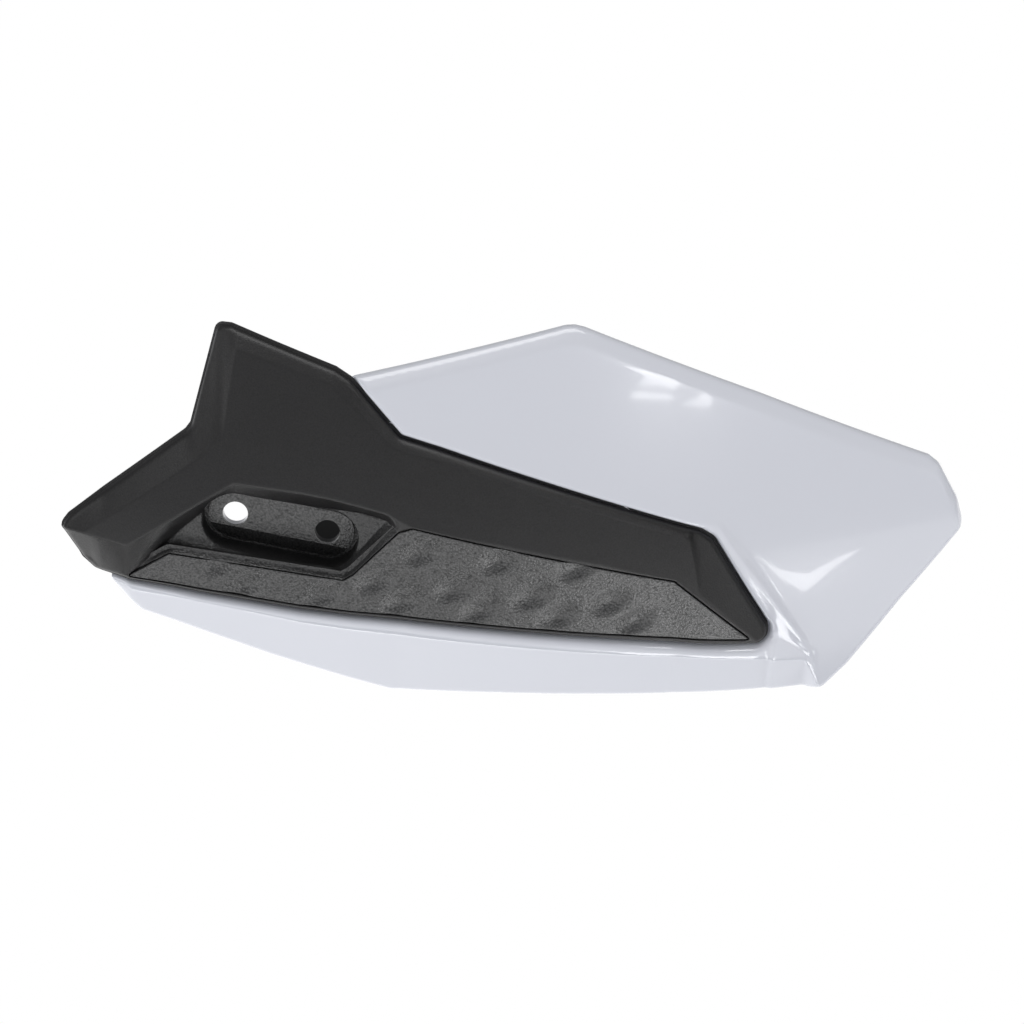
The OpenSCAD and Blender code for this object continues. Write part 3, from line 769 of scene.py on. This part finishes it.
for name, node in frame["nodes"].items():
    if name in ("front_cover", "textured_panel", "wind_shield"):
        continue
    look = GRAINED if name == "mount_carrier" else STEEL if name == "mount_sleeve_inboard" else SCREW
    # Painted shade: the outboard sleeve is made near-black so its hole looks dark inside.
    look = SLEEVE_PAINTED_SHADE if name == "mount_sleeve_outboard" else look
    node.data.materials.clear()
    node.data.materials.append(look)
    if name == "mount_carrier":
        # Only the boss is grained: the plate and the gusset behind it are plain.
        node.data.materials.append(INNER)
        for face in node.data.polygons:
            if face.center.y > (PLATE + 0.1) * MM:
                face.material_index = 1
    edge = node.modifiers.new("soft_edges", "BEVEL")
    edge.width = 0.0004 if name == "mount_carrier" else 0.0002
    edge.segments = 2
    edge.limit_method = "ANGLE"
    edge.angle_limit = math.radians(40)
    edge.harden_normals = False

# ---------------------------------------------------------------- studio
scene = bpy.context.scene
scene.render.engine = "CYCLES"
scene.render.resolution_x = scene.render.resolution_y = 1024
scene.cycles.samples = 192
scene.cycles.use_denoising = True
scene.view_settings.view_transform = "Standard"
scene.view_settings.look = "None"

world = bpy.data.worlds.new("studio")
scene.world = world
world.use_nodes = True
w = world.node_tree
w.nodes.clear()
w_out = w.nodes.new("ShaderNodeOutputWorld")
path = w.nodes.new("ShaderNodeLightPath")
coord = w.nodes.new("ShaderNodeTexCoord")
split = w.nodes.new("ShaderNodeSeparateXYZ")
w.links.new(coord.outputs["Generated"], split.inputs[0])
# The room is bright at the horizon, dark overhead and dimmer at the sides, most of all at the outboard one.
height = math_node(w, "MAXIMUM", split.outputs["Z"], 0.0)
fall = math_node(w, "POWER", math_node(w, "SUBTRACT", 1.0, height), 3.0)
level = math_node(w, "MULTIPLY_ADD", fall, 0.66, 0.22)
front = math_node(w, "MULTIPLY_ADD", math_node(w, "POWER", split.outputs["Y"], 2.0), 0.28, 0.65)
front = math_node(w, "MULTIPLY_ADD", math_node(w, "MAXIMUM", split.outputs["X"], 0.0), -0.75, front)
level = math_node(w, "MULTIPLY", level, front)
room = w.nodes.new("ShaderNodeBackground")
w.links.new(level, room.inputs["Strength"])
room.inputs["Color"].default_value = (0.97, 0.98, 1.0, 1)
blank = w.nodes.new("ShaderNodeBackground")
blank.inputs["Color"].default_value = (1, 1, 1, 1)
blank.inputs["Strength"].default_value = 1.0
choose = w.nodes.new("ShaderNodeMixShader")
w.links.new(path.outputs["Is Camera Ray"], choose.inputs[0])
w.links.new(room.outputs[0], choose.inputs[1])
w.links.new(blank.outputs[0], choose.inputs[2])
w.links.new(choose.outputs[0], w_out.inputs["Surface"])


def card(name, place, aim, width, height, power):
    """A soft box at place, in metres, facing aim."""
    light = bpy.data.lights.new(name, "AREA")
    light.shape = "RECTANGLE"
    light.size, light.size_y = width, height
    light.energy = power
    obj = bpy.data.objects.new(name, light)
    obj.location = place
    obj.rotation_euler = (Vector(aim) - Vector(place)).to_track_quat("-Z", "Y").to_euler()
    scene.collection.objects.link(obj)
    return obj


middle = (0.085, 0, 0)
card("top_box", (0.2, -0.35, 1.25), middle, 1.1, 0.6, 7.0)
card("left_box", (-1.2, -0.6, 0.1), middle, 0.7, 0.5, 1.7)
card("upper_left_box", (-0.56, -0.51, 0.90), middle, 0.4, 0.4, 1.0)
right_box = card("right_box", (1.5, -0.25, 0.3), middle, 0.5, 0.5, 5.0)
right_box.visible_glossy = False

ELEVATION = math.radians(20)
EYE = Vector((0.08175, 0.0012, 0.0018)) + 1.215 * Vector((0, -math.cos(ELEVATION), math.sin(ELEVATION)))


def mirror_card(name, outline, strength, reach):
    """A light whose mirror image in the wind shield fills an outline given in x and z."""
    verts = []
    for x, z in outline:
        slope_x = float(shield_front(x + 1, z) - shield_front(x - 1, z)) / 2
        slope_z = float(shield_front(x, z + 1) - shield_front(x, z - 1)) / 2
        point = Vector((x, float(shield_front(x, z)), z)) * MM
        normal = Vector((slope_x, -1, slope_z)).normalized()
        verts.append(point + reach * (point - EYE).normalized().reflect(normal))
    mesh = bpy.data.meshes.new(name)
    mesh.from_pydata(verts, [], [tuple(range(len(verts)))])
    glow = bpy.data.materials.new(name)
    glow.use_nodes = True
    glow.node_tree.nodes.remove(glow.node_tree.nodes["Principled BSDF"])
    lamp = glow.node_tree.nodes.new("ShaderNodeEmission")
    lamp.inputs["Strength"].default_value = strength
    glow.node_tree.links.new(lamp.outputs[0], glow.node_tree.nodes["Material Output"].inputs["Surface"])
    mesh.materials.append(glow)
    obj = bpy.data.objects.new(name, mesh)
    scene.collection.objects.link(obj)
    obj.visible_camera = obj.visible_diffuse = False


# The studio's windows and the bent streak beyond the ridge, as the wind shield mirrors them.
mirror_card("streak", [(168.7, -13.3), (178.4, -20.2), (188.2, -22.7), (198.9, -18.2), (207.7, -16.2),
                       (197.6, -21.7), (188.3, -28.5), (186.4, -29.0), (178.1, -23.2)], 6.5, 1.1)
mirror_card("window_a", [(122.3, 54.6), (129.6, 52.9), (137.7, 50.0), (139.2, 46.0), (132.4, 47.9),
                         (125.3, 48.4), (128.7, 50.7)], 7.0, 1.3)
mirror_card("window_b", [(124.6, 46.4), (137.7, 44.7), (139.2, 42.8), (123.5, 44.0)], 8.0, 1.3)
mirror_card("window_c", [(140.9, 40.9), (147.5, 42.5), (149.4, 44.5), (152.0, 39.0)], 7.0, 1.3)
mirror_card("ridge_strip", [(161.0, -17.0), (166.8, -22.4), (176.7, -35.6), (186.2, -49.0), (177.3, -45.1),
                            (175.7, -42.0), (168.9, -31.6)], 5.5, 0.34)

floor_mesh = bpy.data.meshes.new("studio_floor")
floor_mesh.from_pydata([(-4, -4, -0.30), (4, -4, -0.30), (4, 4, -0.30), (-4, 4, -0.30)], [], [(0, 1, 2, 3)])
floor = bpy.data.objects.new("studio_floor", floor_mesh)
scene.collection.objects.link(floor)
fm = bpy.data.materials.new("floor_white")
fm.use_nodes = True
ft = fm.node_tree
ft.nodes.remove(ft.nodes["Principled BSDF"])
bounce = ft.nodes.new("ShaderNodeEmission")
bounce.inputs["Color"].default_value = (0.97, 0.98, 1.0, 1)
bounce.inputs["Strength"].default_value = 0.93
# What the mouldings mirror of the floor: a bright line close in front, a dark stretch, then pale again.
place = ft.nodes.new("ShaderNodeNewGeometry")
parts = ft.nodes.new("ShaderNodeSeparateXYZ")
ft.links.new(place.outputs["Position"], parts.inputs[0])
along_y = ft.nodes.new("ShaderNodeMapRange")
along_y.inputs["From Min"].default_value = 0.0
along_y.inputs["From Max"].default_value = -1.0
ft.links.new(parts.outputs["Y"], along_y.inputs["Value"])
ramp = ft.nodes.new("ShaderNodeValToRGB")
stops = [(0.0, 0.34), (0.072, 0.34), (0.082, 1.2), (0.10, 1.2), (0.112, 0.02), (0.27, 0.02),
         (0.38, 0.42), (1.0, 0.36)]
for k, (where, value) in enumerate(stops):
    stop = ramp.color_ramp.elements[k] if k < 2 else ramp.color_ramp.elements.new(where)
    stop.position = where
    stop.color = (value, value, value, 1)
ft.links.new(along_y.outputs["Result"], ramp.inputs["Fac"])
along_x = ft.nodes.new("ShaderNodeMapRange")
for label, value in (("From Min", 0.0), ("From Max", 0.35), ("To Min", 4.2), ("To Max", 2.5)):
    along_x.inputs[label].default_value = value
ft.links.new(parts.outputs["X"], along_x.inputs["Value"])
mirror = ft.nodes.new("ShaderNodeEmission")
ft.links.new(math_node(ft, "MULTIPLY", ramp.outputs["Color"], along_x.outputs["Result"]),
             mirror.inputs["Strength"])
glow = ft.nodes.new("ShaderNodeEmission")
glow.inputs["Strength"].default_value = 1.0
fpath = ft.nodes.new("ShaderNodeLightPath")
fmix = ft.nodes.new("ShaderNodeMixShader")
ft.links.new(fpath.outputs["Is Camera Ray"], fmix.inputs[0])
shiny = ft.nodes.new("ShaderNodeMixShader")
ft.links.new(fpath.outputs["Is Glossy Ray"], shiny.inputs[0])
ft.links.new(bounce.outputs[0], shiny.inputs[1])
ft.links.new(mirror.outputs[0], shiny.inputs[2])
ft.links.new(shiny.outputs[0], fmix.inputs[1])
ft.links.new(glow.outputs[0], fmix.inputs[2])
ft.links.new(fmix.outputs[0], ft.nodes["Material Output"].inputs["Surface"])
floor_mesh.materials.append(fm)

camera = bpy.data.cameras.new("photo_camera")
camera.lens = 120
camera.sensor_width = 36
camera.clip_end = 20
cam = bpy.data.objects.new("photo_camera", camera)
cam.location = EYE
cam.rotation_euler = (math.radians(70), 0, 0)
scene.collection.objects.link(cam)
scene.camera = cam

bpy.context.view_layer.update()
